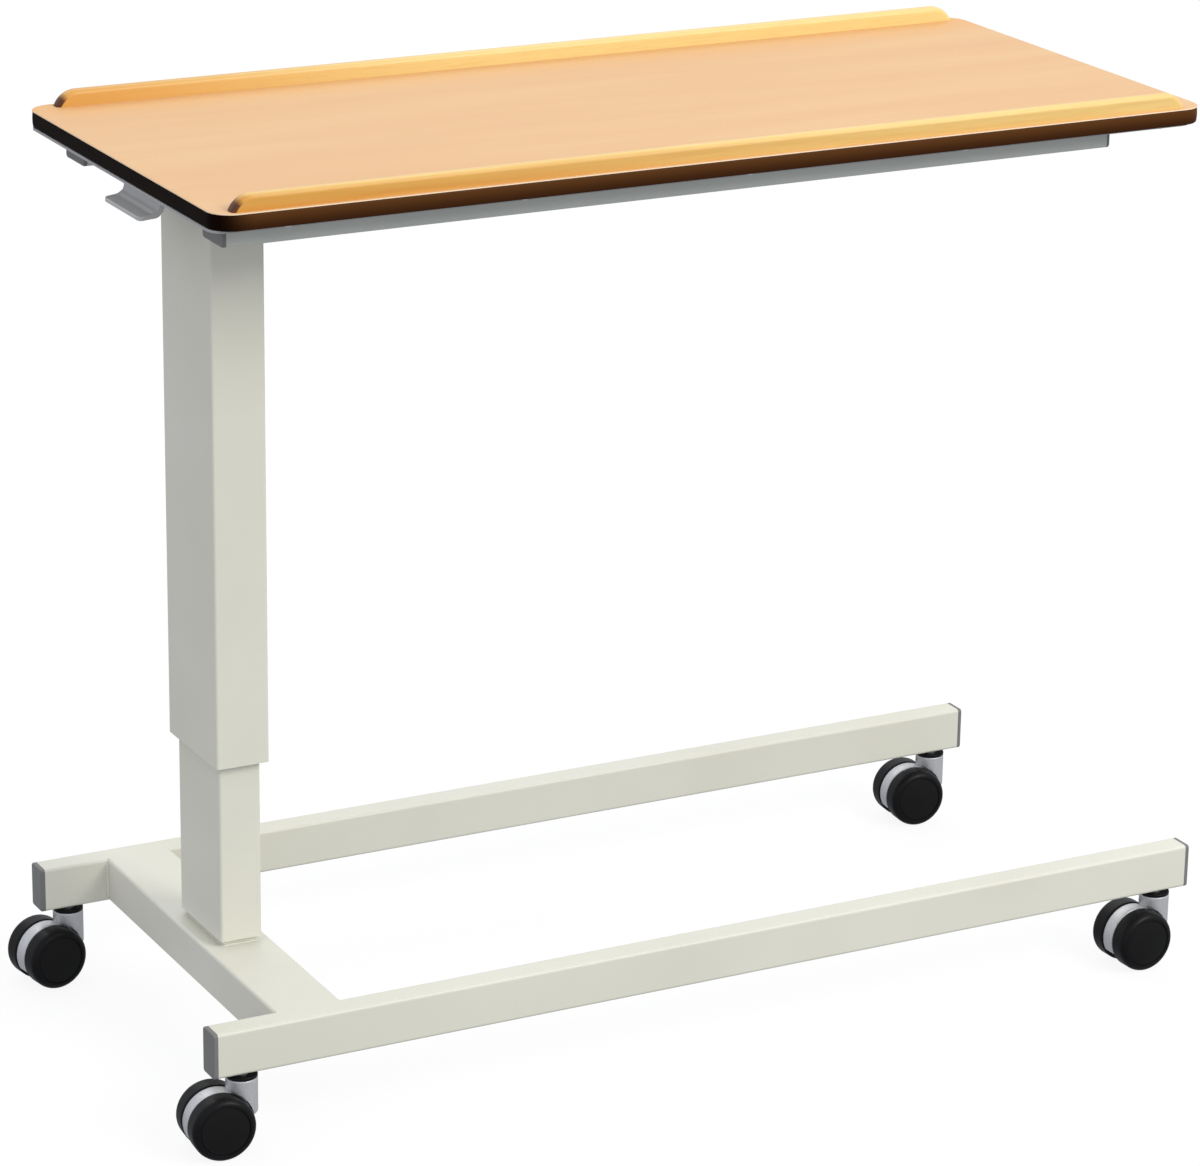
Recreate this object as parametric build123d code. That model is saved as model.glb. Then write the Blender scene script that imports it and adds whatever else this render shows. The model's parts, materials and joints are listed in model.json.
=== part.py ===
"""Overbed table: a laminated board on two rails, carried by a gas-spring lifting column at
one end of a low H-shaped base, which rolls on four twin-wheel swivel castors.

Millimetres, +Z up, +X from the column end to the free end, floor at z = 0. Everything is
laid out with x = 0 near the board's column end and y = 0 on the centre plane. The last
section moves it so that the origin is on the floor, at the middle of the footprint.
"""

from build123d import *
import os
from math import asin, cos, sin

# Middle of the footprint, castors included
ORIGIN_X = 440.0

# Board
BOARD_START_X = -2.0
BOARD_LENGTH = 894.0
BOARD_WIDTH = 400.0
BOARD_CORNER_R = 20.0
BOARD_UNDERSIDE_Z = 757.4
BACKER_T = 2.0
BACKER_INSET = 6.5
CORE_T = 13.0
LAMINATE_T = 1.0
EDGING_T = 2.5

# Raised lips along the two long edges
LIP_WIDTH = 12.0
LIP_HEIGHT = 13.0
LIP_INSET = 3.5
LIP_ENDS_X = {"front": (12.0, 873.0), "rear": (20.0, 880.0)}
LIP_TOP_R = 4.0
LIP_END_R = 20.0

# Rails under the board
RAIL_WIDTH = 40.0
RAIL_HEIGHT = 20.0
RAIL_WALL = 1.5
RAIL_CORNER_R = 3.0
RAIL_OUTER_Y = 163.0
RAIL_START_X = 21.7
RAIL_END_X = 818.7
RAIL_CAP_T = 3.0

# Telescopic column
COLUMN_X = 78.3
OUTER_X, OUTER_Y = 47.0, 101.5
OUTER_BOTTOM_Z = 268.0
INNER_X, INNER_Y = 37.0, 86.0
INNER_TOP_Z = 596.0
COLUMN_WALL = 2.0
COLUMN_CORNER_R = 2.5
FOOT_PLATE_T = 5.0
FOOT_PLATE_INSET = 3.5
BUSH_LENGTH = 40.0
BUSH_CLEARANCE = 0.3

# Base
LEG_WIDTH = 22.5
LEG_HEIGHT = 39.0
LEG_UNDERSIDE_Z = 67.5
LEG_OUTER_Y = 201.5
LEG_START_X = -10.2
LEG_END_X = 913.8
LEG_WALL = 2.0
LEG_CORNER_R = 2.8
LEG_CAP_T = 4.0
CROSS_MEMBER_X = 77.0
CROSS_MEMBER_WIDTH = 58.0

# Castors: stem position from the end of the leg, and the small angle each one rests at
WHEEL_R = 27.0
WHEEL_WIDTH = 18.0
WHEEL_GAP = 14.0
WHEEL_SHOULDER_R = 6.0
TRAIL = 21.9
STEM_X_LEFT = 14.1
STEM_X_RIGHT = 890.5
AXLE_R = 3.95
AXLE_CLEARANCE = 0.05
HOOD_R = 26.4
HOOD_WIDTH = 13.2
BARREL_R = 13.2
BARREL_TOP_Z = 62.3
STEM_R = 5.0
CASTORS = {
    "front_left": (STEM_X_LEFT, -1, -4.0),
    "rear_left": (STEM_X_LEFT, 1, 9.0),
    "front_right": (STEM_X_RIGHT, -1, 2.0),
    "rear_right": (STEM_X_RIGHT, 1, -4.0),
}

# Gas spring and its release
CYLINDER_R = 11.0
CYLINDER_BORE_R = 9.5
CYLINDER_BOTTOM_Z = 114.0
CYLINDER_TOP_Z = 500.0
ROD_R = 5.0
ROD_BOTTOM_Z = 245.0
ROD_TOP_Z = 731.0
PIN_R = 1.6
PIN_TOP_Z = 741.5
LEVER_PIVOT_X = 40.0
LEVER_PIVOT_Z = 745.0
LEVER_WIDTH = 75.0
PIVOT_R = 3.0
FOOT_BOLT_R = 4.0

# Worked out from the sizes above
BOARD_MID_X = BOARD_START_X + BOARD_LENGTH / 2
CORE_Z = BOARD_UNDERSIDE_Z + BACKER_T
LAMINATE_Z = CORE_Z + CORE_T
BOARD_TOP_Z = LAMINATE_Z + LAMINATE_T
LIP_Y = BOARD_WIDTH / 2 - LIP_INSET - LIP_WIDTH / 2
RAIL_Y = RAIL_OUTER_Y - RAIL_WIDTH / 2
RAIL_INNER_Y = RAIL_OUTER_Y - RAIL_WIDTH
RAIL_Z = BOARD_UNDERSIDE_Z - RAIL_HEIGHT / 2
HEAD_PLATE_T = 4.0
HEAD_PLATE_Z = BOARD_UNDERSIDE_Z - HEAD_PLATE_T
LEG_Y = LEG_OUTER_Y - LEG_WIDTH / 2
LEG_MID_Z = LEG_UNDERSIDE_Z + LEG_HEIGHT / 2
LEG_TOP_Z = LEG_UNDERSIDE_Z + LEG_HEIGHT

parts = {}


def tube_along_x(x0, x1, y, z, width, height, wall, corner_r):
    """A rectangular tube with rounded corners, running along X."""
    outline = RectangleRounded(width, height, corner_r)
    bore = RectangleRounded(width - 2 * wall, height - 2 * wall, max(corner_r - wall, 0.6))
    section = Plane(origin=(x0, y, z), x_dir=(0, 1, 0), z_dir=(1, 0, 0))
    return extrude(section * (outline - bore), x1 - x0)


def prism(x, y, z0, z1, size_x, size_y, corner_r):
    """An upright block with rounded vertical edges."""
    return extrude(Pos(x, y, z0) * RectangleRounded(size_x, size_y, corner_r), z1 - z0)


def rod(x, y, z0, z1, radius):
    """An upright round bar."""
    return extrude(Pos(x, y, z0) * Circle(radius), z1 - z0)


def bar_along_y(x, z, y0, y1, radius):
    """A round bar lying along Y."""
    start = Plane(origin=(x, y0, z), x_dir=(1, 0, 0), z_dir=(0, 1, 0))
    return extrude(start * Circle(radius), y1 - y0)


def block(x0, x1, y0, y1, z0, z1):
    """A square-edged block between two corners."""
    middle = Pos((x0 + x1) / 2, (y0 + y1) / 2, (z0 + z1) / 2)
    return middle * Box(x1 - x0, y1 - y0, z1 - z0)


# ---- Base frame -------------------------------------------------------------------------


def leg(side):
    """One floor tube, with a hole in its underside for each castor stem."""
    y = side * LEG_Y
    tube = tube_along_x(
        LEG_START_X, LEG_END_X, y, LEG_MID_Z, LEG_WIDTH, LEG_HEIGHT, LEG_WALL, LEG_CORNER_R
    )
    for stem_x in (STEM_X_LEFT, STEM_X_RIGHT):
        tube -= rod(stem_x, y, LEG_UNDERSIDE_Z - 1, LEG_UNDERSIDE_Z + LEG_WALL + 1, STEM_R + 0.1)
    return tube


def end_cap(x, y, z, width, height, thickness, wall, corner_r, outward):
    """A moulded plug: a flange over the tube's end and a hollow spigot inside it."""
    plug_length, fit, shell = 12.0, 0.1, 1.6
    face = Plane(origin=(x, y, z), x_dir=(0, 1, 0), z_dir=(outward, 0, 0))
    flange = extrude(face * RectangleRounded(width, height, corner_r), thickness)
    rim = flange.faces().sort_by(Axis.X)[-1 if outward > 0 else 0].edges()
    flange = fillet(rim, 1.2)
    inside_w = width - 2 * wall - 2 * fit
    inside_h = height - 2 * wall - 2 * fit
    spigot = RectangleRounded(inside_w, inside_h, max(corner_r - wall, 0.6) + 0.4)
    hollow = RectangleRounded(inside_w - 2 * shell, inside_h - 2 * shell, 0.5)
    return flange + extrude(face * (spigot - hollow), -plug_length)


parts["leg_front"] = leg(-1)
parts["leg_rear"] = leg(1)
parts["leg_end_caps"] = [
    end_cap(
        x, side * LEG_Y, LEG_MID_Z, LEG_WIDTH, LEG_HEIGHT, LEG_CAP_T, LEG_WALL, LEG_CORNER_R, outward
    )
    for x, outward in ((LEG_START_X, -1), (LEG_END_X, 1))
    for side in (-1, 1)
]


def cross_member():
    """The wide box tube between the legs, holed for the gas spring's foot bolt."""
    inner_y = LEG_OUTER_Y - LEG_WIDTH
    outline = RectangleRounded(CROSS_MEMBER_WIDTH, LEG_HEIGHT, LEG_CORNER_R)
    bore = RectangleRounded(
        CROSS_MEMBER_WIDTH - 2 * LEG_WALL, LEG_HEIGHT - 2 * LEG_WALL, LEG_CORNER_R - LEG_WALL
    )
    start = Plane(
        origin=(CROSS_MEMBER_X, -inner_y, LEG_MID_Z), x_dir=(1, 0, 0), z_dir=(0, 1, 0)
    )
    tube = extrude(start * (outline - bore), 2 * inner_y)
    tube -= rod(COLUMN_X, 0, LEG_TOP_Z - LEG_WALL - 1, LEG_TOP_Z + 1, FOOT_BOLT_R + 0.2)
    tube -= rod(COLUMN_X, 0, LEG_UNDERSIDE_Z - 1, LEG_UNDERSIDE_Z + LEG_WALL + 1, 9.0)
    return tube


parts["cross_member"] = cross_member()


# ---- Lifting column ---------------------------------------------------------------------


def column_tube(z0, z1, size_x, size_y):
    """A length of the column's rounded rectangular tube."""
    outer = prism(COLUMN_X, 0, z0, z1, size_x, size_y, COLUMN_CORNER_R)
    bore = prism(
        COLUMN_X,
        0,
        z0 - 1,
        z1 + 1,
        size_x - 2 * COLUMN_WALL,
        size_y - 2 * COLUMN_WALL,
        COLUMN_CORNER_R - COLUMN_WALL,
    )
    return outer - bore


FOOT_TOP_Z = LEG_TOP_Z + FOOT_PLATE_T
parts["column_foot_plate"] = prism(
    COLUMN_X,
    0,
    LEG_TOP_Z,
    FOOT_TOP_Z,
    INNER_X - 2 * FOOT_PLATE_INSET,
    INNER_Y - 2 * FOOT_PLATE_INSET,
    1.0,
) - rod(COLUMN_X, 0, LEG_TOP_Z - 1, FOOT_TOP_Z + 1, FOOT_BOLT_R + 0.2)
parts["inner_column"] = column_tube(FOOT_TOP_Z, INNER_TOP_Z, INNER_X, INNER_Y)

# The outer tube's top is notched on the column end's side, where the lever's arm goes in.
NOTCH_HALF_WIDTH, NOTCH_DEPTH = 12.0, 19.0
outer_left_x = COLUMN_X - OUTER_X / 2
parts["outer_column"] = column_tube(OUTER_BOTTOM_Z, HEAD_PLATE_Z, OUTER_X, OUTER_Y) - block(
    outer_left_x - 1,
    outer_left_x + COLUMN_WALL + 1,
    -NOTCH_HALF_WIDTH,
    NOTCH_HALF_WIDTH,
    HEAD_PLATE_Z - NOTCH_DEPTH,
    HEAD_PLATE_Z + 1,
)


def upper_bush():
    """Plastic collar on top of the inner tube, which runs inside the outer tube."""
    z1 = INNER_TOP_Z + 3
    cavity_x = OUTER_X - 2 * COLUMN_WALL - 2 * BUSH_CLEARANCE
    cavity_y = OUTER_Y - 2 * COLUMN_WALL - 2 * BUSH_CLEARANCE
    collar = prism(COLUMN_X, 0, INNER_TOP_Z - BUSH_LENGTH, z1, cavity_x, cavity_y, 1.9)
    collar -= prism(
        COLUMN_X, 0, 0, INNER_TOP_Z, INNER_X + 0.1, INNER_Y + 0.1, COLUMN_CORNER_R
    )
    return collar - prism(
        COLUMN_X, 0, INNER_TOP_Z - 1, z1 + 1, INNER_X - 6, INNER_Y - 6, COLUMN_CORNER_R - 2
    )


def lower_bush():
    """Plastic collar in the foot of the outer tube, which runs on the inner tube."""
    z0 = OUTER_BOTTOM_Z + 2
    collar = prism(
        COLUMN_X,
        0,
        z0,
        z0 + BUSH_LENGTH,
        OUTER_X - 2 * COLUMN_WALL,
        OUTER_Y - 2 * COLUMN_WALL,
        COLUMN_CORNER_R - COLUMN_WALL,
    )
    return collar - prism(
        COLUMN_X,
        0,
        z0 - 1,
        z0 + BUSH_LENGTH + 1,
        INNER_X + 2 * BUSH_CLEARANCE,
        INNER_Y + 2 * BUSH_CLEARANCE,
        COLUMN_CORNER_R,
    )


parts["upper_guide_bush"] = upper_bush()
parts["lower_guide_bush"] = lower_bush()

# ---- Gas spring -------------------------------------------------------------------------

CYLINDER_FLOOR_Z = CYLINDER_BOTTOM_Z + 18
GUIDE_LENGTH = 12.0
PISTON_LENGTH = 10.0
parts["gas_spring_foot_bolt"] = rod(
    COLUMN_X, 0, LEG_TOP_Z - LEG_WALL - 5, LEG_TOP_Z - LEG_WALL, 6.5
) + rod(COLUMN_X, 0, LEG_TOP_Z - LEG_WALL, CYLINDER_BOTTOM_Z + 12, FOOT_BOLT_R)
parts["gas_cylinder"] = (
    rod(COLUMN_X, 0, CYLINDER_BOTTOM_Z, CYLINDER_TOP_Z, CYLINDER_R)
    - rod(COLUMN_X, 0, CYLINDER_FLOOR_Z, CYLINDER_TOP_Z + 1, CYLINDER_BORE_R)
    - rod(COLUMN_X, 0, CYLINDER_BOTTOM_Z - 1, CYLINDER_BOTTOM_Z + 12.5, FOOT_BOLT_R + 0.1)
)
parts["gas_rod_guide"] = rod(
    COLUMN_X, 0, CYLINDER_TOP_Z - GUIDE_LENGTH, CYLINDER_TOP_Z, CYLINDER_BORE_R - 0.05
) - rod(COLUMN_X, 0, CYLINDER_TOP_Z - GUIDE_LENGTH - 1, CYLINDER_TOP_Z + 1, ROD_R + 0.06)
parts["gas_piston"] = rod(
    COLUMN_X, 0, ROD_BOTTOM_Z, ROD_BOTTOM_Z + PISTON_LENGTH, CYLINDER_BORE_R - 0.08
) - rod(COLUMN_X, 0, ROD_BOTTOM_Z + 2, ROD_BOTTOM_Z + PISTON_LENGTH + 1, ROD_R + 0.05)
PIN_BOTTOM_Z = ROD_TOP_Z - 14
parts["gas_rod"] = rod(COLUMN_X, 0, ROD_BOTTOM_Z + 2, ROD_TOP_Z, ROD_R) - rod(
    COLUMN_X, 0, PIN_BOTTOM_Z - 6, ROD_TOP_Z + 1, PIN_R + 0.05
)
parts["release_pin"] = fillet(
    rod(COLUMN_X, 0, PIN_BOTTOM_Z, PIN_TOP_Z, PIN_R).faces().sort_by(Axis.Z)[-1].edges(), 1.0
)

# ---- Column head ------------------------------------------------------------------------

HEAD_PLATE_X0, HEAD_PLATE_X1 = 26.0, 150.0
BLOCK_TOP_Z = ROD_TOP_Z + 4
BLOCK_HALF_Y = 15.0
CHEEK_T = 3.5


def release_block():
    """The U-shaped block that ties the gas spring's rod to the head plate."""
    x0, x1 = COLUMN_X - 15, COLUMN_X + 15
    body = block(x0, x1, -BLOCK_HALF_Y, BLOCK_HALF_Y, BLOCK_TOP_Z - 24, BLOCK_TOP_Z)
    for y0 in (-BLOCK_HALF_Y, BLOCK_HALF_Y - CHEEK_T):
        body += block(x0, x1, y0, y0 + CHEEK_T, BLOCK_TOP_Z, HEAD_PLATE_Z)
    body -= rod(COLUMN_X, 0, BLOCK_TOP_Z - 25, ROD_TOP_Z, ROD_R + 0.05)
    return body - rod(COLUMN_X, 0, ROD_TOP_Z - 1, BLOCK_TOP_Z + 1, PIN_R + 0.2)


parts["release_block"] = release_block()

EAR_Y0, EAR_Y1 = 10.0, 13.0
bracket = None
for side in (-1, 1):
    low, high = sorted((side * EAR_Y0, side * EAR_Y1))
    ear = block(33, 47, low, high, LEVER_PIVOT_Z - 6.5, HEAD_PLATE_Z)
    bracket = ear if bracket is None else bracket + ear
bracket += block(30, 50, -EAR_Y1 - 5, EAR_Y1 + 5, HEAD_PLATE_Z - 1.6, HEAD_PLATE_Z)
parts["lever_bracket"] = bracket - bar_along_y(LEVER_PIVOT_X, LEVER_PIVOT_Z, -20, 20, PIVOT_R)
parts["lever_pivot_pin"] = bar_along_y(
    LEVER_PIVOT_X, LEVER_PIVOT_Z, -EAR_Y1 - 1.5, EAR_Y1 + 1.5, PIVOT_R
)


def release_lever():
    """Stamped paddle, riser and arm in one piece, rocking on the pivot pin."""
    half = LEVER_WIDTH / 2
    paddle_x0, riser_x0, riser_x1 = 1.0, 19.0, 23.0
    riser_top_z, paddle_z = 754.0, 731.0
    side_view = Polyline(
        (paddle_x0, paddle_z),
        (paddle_x0, paddle_z + 3.2),
        (riser_x0 - 6, paddle_z + 4.6),
        (riser_x0 - 1.5, paddle_z + 7.5),
        (riser_x0, paddle_z + 12),
        (riser_x0, riser_top_z),
        (riser_x1, riser_top_z),
        (riser_x1, paddle_z + 7),
        (riser_x1 - 5, paddle_z + 1.2),
        close=True,
    )
    shape = extrude(Plane.XZ.offset(-half) * make_face(side_view), LEVER_WIDTH)
    plan = prism(
        (paddle_x0 + riser_x1) / 2 + 10, 0, 700, 800, riser_x1 - paddle_x0 + 20, LEVER_WIDTH, 6.0
    )
    shape = shape & plan
    shape -= prism((paddle_x0 + riser_x0) / 2 - 2, 0, paddle_z + 2.2, 760, 11, LEVER_WIDTH - 5, 4.0)
    shape += block(riser_x1 - 1, LEVER_PIVOT_X, -9, 9, LEVER_PIVOT_Z - 2, LEVER_PIVOT_Z + 2)
    shape += bar_along_y(LEVER_PIVOT_X, LEVER_PIVOT_Z, -9.5, 9.5, 6.0)
    arm_z = PIN_TOP_Z + 0.3
    shape += block(LEVER_PIVOT_X, COLUMN_X + 5, -7, 7, arm_z, arm_z + 4.5)
    return shape - bar_along_y(LEVER_PIVOT_X, LEVER_PIVOT_Z, -20, 20, PIVOT_R + 0.05)


parts["release_lever"] = release_lever()

# ---- Rails ------------------------------------------------------------------------------

RAIL_SCREW_XS = (60.0, 300.0, 540.0, 780.0)
SCREW_R, SCREW_HEAD_R, SCREW_HEAD_T = 2.0, 4.0, 2.4
SCREW_TIP_Z = CORE_Z + 9


def rail(side):
    """A grey tube screwed flat under the board, with access holes below each screw."""
    y = side * RAIL_Y
    tube = tube_along_x(
        RAIL_START_X, RAIL_END_X, y, RAIL_Z, RAIL_WIDTH, RAIL_HEIGHT, RAIL_WALL, RAIL_CORNER_R
    )
    for x in RAIL_SCREW_XS:
        tube -= rod(x, y, BOARD_UNDERSIDE_Z - 5, BOARD_UNDERSIDE_Z + 1, SCREW_R + 0.2)
        tube -= rod(x, y, RAIL_Z - RAIL_HEIGHT / 2 - 1, RAIL_Z, SCREW_HEAD_R + 1)
    return tube


parts["rail_front"] = rail(-1)
parts["rail_rear"] = rail(1)
parts["rail_end_caps"] = [
    end_cap(
        x, side * RAIL_Y, RAIL_Z, RAIL_WIDTH, RAIL_HEIGHT, RAIL_CAP_T, RAIL_WALL, RAIL_CORNER_R, outward
    )
    for x, outward in ((RAIL_START_X, -1), (RAIL_END_X, 1))
    for side in (-1, 1)
]

PLATE_SCREWS = [(x, y) for x in (116.0, 140.0) for y in (-75.0, 75.0)]
head_plate = block(
    HEAD_PLATE_X0, HEAD_PLATE_X1, -RAIL_INNER_Y, RAIL_INNER_Y, HEAD_PLATE_Z, BOARD_UNDERSIDE_Z
)
for x, y in PLATE_SCREWS:
    head_plate -= rod(x, y, HEAD_PLATE_Z - 1, BOARD_UNDERSIDE_Z + 1, SCREW_R + 0.2)
parts["head_plate"] = head_plate


def gusset(side):
    """A triangular rib from the column's broad side out to the rail."""
    corners = Polyline(
        (side * OUTER_Y / 2, HEAD_PLATE_Z),
        (side * (RAIL_INNER_Y - 1), HEAD_PLATE_Z),
        (side * (RAIL_INNER_Y - 1), HEAD_PLATE_Z - 8),
        (side * OUTER_Y / 2, HEAD_PLATE_Z - 32),
        close=True,
    )
    section = Plane(origin=(COLUMN_X - 2, 0, 0), x_dir=(0, 1, 0), z_dir=(1, 0, 0))
    return extrude(section * make_face(corners), 4)


parts["head_gussets"] = [gusset(side) for side in (-1, 1)]


def board_screw(x, y, seat_z):
    """A pan-head screw, from the metal it clamps up into the board's core."""
    return rod(x, y, seat_z - SCREW_HEAD_T, seat_z, SCREW_HEAD_R) + rod(
        x, y, seat_z, SCREW_TIP_Z, SCREW_R
    )


parts["board_screws"] = [
    board_screw(x, side * RAIL_Y, BOARD_UNDERSIDE_Z - RAIL_WALL)
    for x in RAIL_SCREW_XS
    for side in (-1, 1)
] + [board_screw(x, y, HEAD_PLATE_Z) for x, y in PLATE_SCREWS]

# ---- Board ------------------------------------------------------------------------------

LIP_SCREW_XS = (60.0, 260.0, 460.0, 660.0, 850.0)
LIP_SCREW_HEAD_T = 2.0


def board_layer(z0, z1, inset):
    """One layer of the board, inset by the same amount all round."""
    return prism(
        BOARD_MID_X,
        0,
        z0,
        z1,
        BOARD_LENGTH - 2 * inset,
        BOARD_WIDTH - 2 * inset,
        BOARD_CORNER_R - inset,
    )


def lip(side, start_x, end_x, z0, height):
    """A hardwood bead with rounded top edges, whose ends sweep down to the board in an arc."""
    reach = (LIP_END_R**2 - (LIP_END_R - height) ** 2) ** 0.5
    with BuildSketch(Plane.XZ) as side_view:
        with BuildLine():
            RadiusArc((start_x, z0), (start_x + reach, z0 + height), LIP_END_R)
            Line((start_x + reach, z0 + height), (end_x - reach, z0 + height))
            RadiusArc((end_x - reach, z0 + height), (end_x, z0), LIP_END_R)
            Line((end_x, z0), (start_x, z0))
        make_face()
    bead = Pos(0, side * LIP_Y + LIP_WIDTH / 2, 0) * extrude(side_view.sketch, LIP_WIDTH)
    crown = [e for e in bead.edges() if e.center().Z > z0 + 1 and e.length > LIP_WIDTH + 1]
    return fillet(crown, LIP_TOP_R)


def lip_footprint(side, start_x, end_x, clear):
    """The straight-sided patch that a lip stands on."""
    y = side * LIP_Y
    half = LIP_WIDTH / 2 + clear
    return block(
        start_x - clear, end_x + clear, y - half, y + half, LAMINATE_Z - 1, BOARD_TOP_Z + 1
    )


core = board_layer(CORE_Z, LAMINATE_Z, EDGING_T)
# The backer shows at the column end only: it stops short of the other three edges.
backer = prism(
    BOARD_MID_X - BACKER_INSET / 2,
    0,
    BOARD_UNDERSIDE_Z,
    CORE_Z,
    BOARD_LENGTH - BACKER_INSET,
    BOARD_WIDTH - 2 * BACKER_INSET,
    BOARD_CORNER_R - BACKER_INSET,
)
laminate = board_layer(LAMINATE_Z, BOARD_TOP_Z, 0.0)
edging = board_layer(CORE_Z, LAMINATE_Z, 0.0) - board_layer(CORE_Z - 1, LAMINATE_Z + 1, EDGING_T)
for x, y in [(x, side * RAIL_Y) for x in RAIL_SCREW_XS for side in (-1, 1)] + PLATE_SCREWS:
    hole = rod(x, y, BOARD_UNDERSIDE_Z - 1, SCREW_TIP_Z + 0.5, SCREW_R + 0.1)
    core -= hole
    backer -= hole
lips = {}
lip_screws = []
for side, end in ((-1, "front"), (1, "rear")):
    start_x, end_x = LIP_ENDS_X[end]
    bead = lip(side, start_x, end_x, LAMINATE_Z, LIP_HEIGHT + LAMINATE_T)
    laminate -= lip_footprint(side, start_x, end_x, 0.05)
    for x in LIP_SCREW_XS:
        y = side * LIP_Y
        shank = rod(x, y, BOARD_UNDERSIDE_Z, LAMINATE_Z + 10, SCREW_R)
        head = rod(x, y, BOARD_UNDERSIDE_Z, BOARD_UNDERSIDE_Z + LIP_SCREW_HEAD_T, SCREW_HEAD_R)
        lip_screws.append(head + shank)
        bead -= rod(x, y, LAMINATE_Z - 1, LAMINATE_Z + 10.5, SCREW_R + 0.1)
        core -= rod(x, y, CORE_Z - 1, LAMINATE_Z + 1, SCREW_R + 0.1)
        backer -= rod(x, y, BOARD_UNDERSIDE_Z - 1, CORE_Z + 1, SCREW_HEAD_R + 0.1)
    lips[end] = bead
parts["board_core"] = core
parts["board_backer"] = backer
parts["board_laminate"] = laminate
parts["board_edging"] = edging
parts["lip_front"] = lips["front"]
parts["lip_rear"] = lips["rear"]
parts["lip_screws"] = lip_screws

# ---- Castors ----------------------------------------------------------------------------

WHEEL_INNER_Y = WHEEL_GAP / 2
WHEEL_OUTER_Y = WHEEL_INNER_Y + WHEEL_WIDTH
CAP_SEAT_Y = WHEEL_OUTER_Y - 2.0
CAP_R = 20.7
CAP_SEAT_R = CAP_R + 0.2
AXLE_END_Y = WHEEL_OUTER_Y - 3.5


def about_axle(profile):
    """Turn a profile drawn as (radius, distance along the axle) about the castor's axle."""
    return Pos(-TRAIL, 0, WHEEL_R) * revolve(profile, Axis.Y)


def wheel(side):
    """One moulded nylon wheel, with a rounded shoulder and a seat for its cap."""
    shoulder = WHEEL_OUTER_Y - WHEEL_SHOULDER_R
    inner_r = 2.0
    bore_r = AXLE_R + AXLE_CLEARANCE
    with BuildSketch(Plane.XY) as profile:
        with BuildLine():
            Line((bore_r, WHEEL_INNER_Y), (WHEEL_R - inner_r, WHEEL_INNER_Y))
            RadiusArc(
                (WHEEL_R - inner_r, WHEEL_INNER_Y), (WHEEL_R, WHEEL_INNER_Y + inner_r), -inner_r
            )
            Line((WHEEL_R, WHEEL_INNER_Y + inner_r), (WHEEL_R, shoulder))
            RadiusArc(
                (WHEEL_R, shoulder), (WHEEL_R - WHEEL_SHOULDER_R, WHEEL_OUTER_Y), -WHEEL_SHOULDER_R
            )
            Polyline(
                (WHEEL_R - WHEEL_SHOULDER_R, WHEEL_OUTER_Y),
                (CAP_SEAT_R, WHEEL_OUTER_Y),
                (CAP_SEAT_R, CAP_SEAT_Y),
                (0, CAP_SEAT_Y),
                (0, AXLE_END_Y + 0.3),
                (bore_r, AXLE_END_Y + 0.3),
                (bore_r, WHEEL_INNER_Y),
            )
        make_face()
    shape = about_axle(profile.sketch)
    return shape if side > 0 else mirror(shape, about=Plane.XZ)


def wheel_cap(side):
    """A domed disc snapped into the wheel's outer face: the crown is part of a sphere."""
    rise, rim_y = 1.8, CAP_SEAT_Y + 1.6
    sphere_r = (CAP_R**2 + rise**2) / (2 * rise)
    half_angle = asin(CAP_R / sphere_r) / 2
    crown_y = rim_y + rise
    halfway = (sphere_r * sin(half_angle), crown_y - sphere_r * (1 - cos(half_angle)))
    with BuildSketch(Plane.XY) as profile:
        with BuildLine():
            Polyline((0, crown_y), (0, CAP_SEAT_Y), (CAP_R, CAP_SEAT_Y), (CAP_R, rim_y))
            ThreePointArc((CAP_R, rim_y), halfway, (0, crown_y))
        make_face()
    shape = about_axle(profile.sketch)
    return shape if side > 0 else mirror(shape, about=Plane.XZ)


def castor_housing():
    """Cast barrel round the stem, and the hood and web that run between the wheels."""
    barrel = rod(0, 0, 30, BARREL_TOP_Z, BARREL_R)
    barrel = fillet(barrel.faces().sort_by(Axis.Z)[0].edges(), 3.0)
    for side in (-1, 1):
        low, high = sorted((side * HOOD_WIDTH / 2, side * 30))
        barrel -= bar_along_y(-TRAIL, WHEEL_R, low, high, WHEEL_R + 1.2)
    hood = bar_along_y(-TRAIL, WHEEL_R, -HOOD_WIDTH / 2, HOOD_WIDTH / 2, HOOD_R)
    hood -= block(-80, 40, -20, 20, -5, 14)
    shape = barrel + hood
    shape -= rod(0, 0, 40, BARREL_TOP_Z + 1, STEM_R + 0.3)
    return shape - bar_along_y(-TRAIL, WHEEL_R, -20, 20, AXLE_R)


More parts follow.
